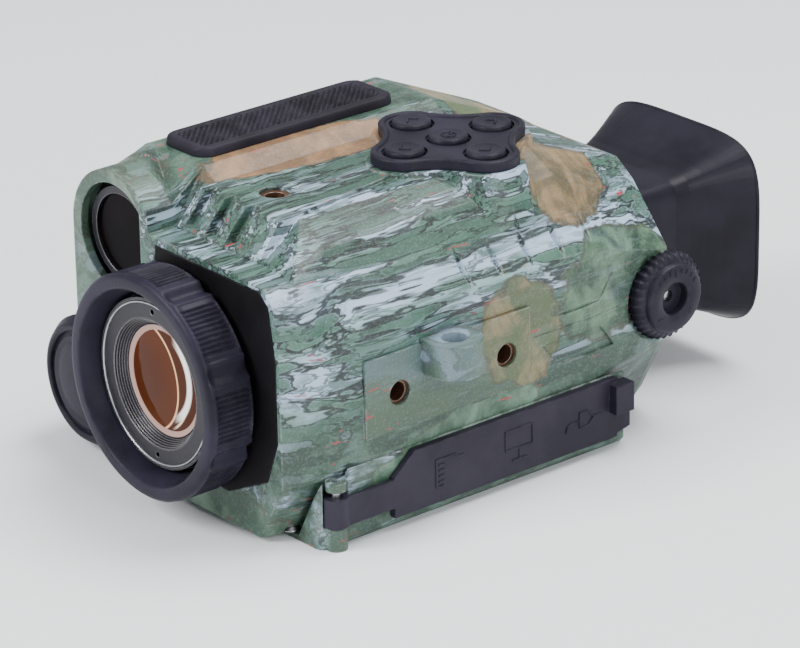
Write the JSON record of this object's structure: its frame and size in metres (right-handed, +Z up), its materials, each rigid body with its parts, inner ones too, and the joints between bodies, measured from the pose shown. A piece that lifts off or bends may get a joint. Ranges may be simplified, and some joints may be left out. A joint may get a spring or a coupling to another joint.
{
  "type": "laser rangefinder",
  "caption": "Hand-held digital night-vision rangefinder with a focusing objective, infrared lamp, key pad, dioptre dial, rubber eyecup and covered side ports.",
  "frame": {"origin": "centre of the tripod thread in the foot, on the plane the foot rests on", "axes": "-Y towards the target, +Y towards the eye, +X the side with the ports and the dial, +Z up"},
  "size_m": [0.1241, 0.1913, 0.0874],
  "materials": {
    "camo_shell": "moulded shell with a printed tree-bark pattern",
    "black_plastic": "fine moulded grain",
    "black_metal": "black anodised",
    "plain_metal": "machined",
    "ring_rubber": "matt",
    "grip_rubber": "coarse grain",
    "key_rubber": "smooth matt",
    "cover_rubber": "smooth matt",
    "cup_rubber": "smooth matt",
    "seal_rubber": "smooth",
    "coated_glass": "amber anti-reflection coating",
    "lamp_glass": "dark infrared filter",
    "sensor": "glossy cover",
    "circuit_board": "solder mask",
    "chip_resin": "moulded resin",
    "emitter": "clear dome on a pale carrier",
    "cell_jacket": "printed jacket",
    "screen": "glossy",
    "spring_steel": "plated",
    "brass": "turned"
  },
  "bodies": {
    "housing": {"upper_housing": "camo_shell", "lower_housing": "camo_shell", "base_plate": "camo_shell", "front_bezel": "black_plastic", "objective_barrel": "black_metal", "image_sensor": "sensor", "sensor_board": "circuit_board", "lamp_tube": "black_metal", "lamp_holder": "black_plastic", "lamp_window": "lamp_glass", "lamp_emitter": "emitter", "lamp_heatsink": "plain_metal", "battery_tube": "plain_metal", "battery_cells": "cell_jacket", "battery_contacts": "spring_steel", "grip_pad": "grip_rubber", "key_plate": "key_rubber", "key_switches": "spring_steel", "key_board": "circuit_board", "dial_bush": "brass", "eyepiece_tube": "black_plastic", "eyecup": "cup_rubber", "display_module": "screen", "main_board": "circuit_board", "board_chips": "chip_resin", "card_socket": "plain_metal", "video_socket": "chip_resin", "usb_socket": "plain_metal", "cover_pin": "spring_steel", "side_inserts": "brass", "top_insert": "brass", "base_insert": "brass", "housing_screws": "spring_steel", "base_screws": "spring_steel"},
    "ring": {"focus_ring": "ring_rubber"},
    "objective": {"objective_cell": "black_metal", "objective_retainer": "black_metal", "front_lens": "coated_glass", "rear_lens": "coated_glass"},
    "cap": {"battery_cap": "black_plastic", "cap_seal": "seal_rubber", "cap_contact": "spring_steel"},
    "dial": {"diopter_dial": "black_plastic", "dial_shaft": "spring_steel"},
    "eyepiece": {"eyepiece_cell": "black_metal", "eye_lens": "coated_glass", "field_lens": "coated_glass"},
    "cover": {"port_cover": "cover_rubber"},
    "key_front_body": {"key_front": "key_rubber"},
    "key_rear_body": {"key_rear": "key_rubber"},
    "key_left_body": {"key_left": "key_rubber"},
    "key_right_body": {"key_right": "key_rubber"},
    "key_center_body": {"key_center": "key_rubber"}
  },
  "joints": [
    {"name": "focus_turn", "type": "hinge", "parent": "housing", "child": "ring", "pos_m": [0, -0.073, 0.0386], "axis": [0, 1, 0], "range_deg": [-100, 100]},
    {"name": "objective_slide", "type": "slide", "parent": "housing", "child": "objective", "axis": [0, 1, 0], "range_m": [-0.0012, 0.0012]},
    {"name": "cap_turn", "type": "hinge", "parent": "housing", "child": "cap", "pos_m": [-0.048, -0.059, 0.0202], "axis": [0, 1, 0], "range_deg": [0, 90]},
    {"name": "dial_turn", "type": "hinge", "parent": "housing", "child": "dial", "pos_m": [0.045, 0.064, 0.0386], "axis": [1, 0, 0], "range_deg": [-38, 38]},
    {"name": "eyepiece_slide", "type": "slide", "parent": "housing", "child": "eyepiece", "axis": [0, 1, 0], "range_m": [-0.002, 0.002]},
    {"name": "cover_swing", "type": "hinge", "parent": "housing", "child": "cover", "pos_m": [0.0442, -0.0515, 0.0106], "axis": [0, 0, -1], "range_deg": [0, 100]},
    {"name": "key_front_press", "type": "slide", "parent": "housing", "child": "key_front_body", "axis": [0, 0, -1], "range_m": [0, 0.0009], "stiffness_N_per_m": 800},
    {"name": "key_rear_press", "type": "slide", "parent": "housing", "child": "key_rear_body", "axis": [0, 0, -1], "range_m": [0, 0.0009], "stiffness_N_per_m": 800},
    {"name": "key_left_press", "type": "slide", "parent": "housing", "child": "key_left_body", "axis": [0, 0, -1], "range_m": [0, 0.0009], "stiffness_N_per_m": 800},
    {"name": "key_right_press", "type": "slide", "parent": "housing", "child": "key_right_body", "axis": [0, 0, -1], "range_m": [0, 0.0009], "stiffness_N_per_m": 800},
    {"name": "key_center_press", "type": "slide", "parent": "housing", "child": "key_center_body", "axis": [0, 0, -1], "range_m": [0, 0.0009], "stiffness_N_per_m": 800}
  ],
  "couplings": [
    {"joint": "objective_slide", "follows": "focus_turn", "m_per_rad": 0.000687},
    {"joint": "eyepiece_slide", "follows": "dial_turn", "m_per_rad": 0.003}
  ]
}
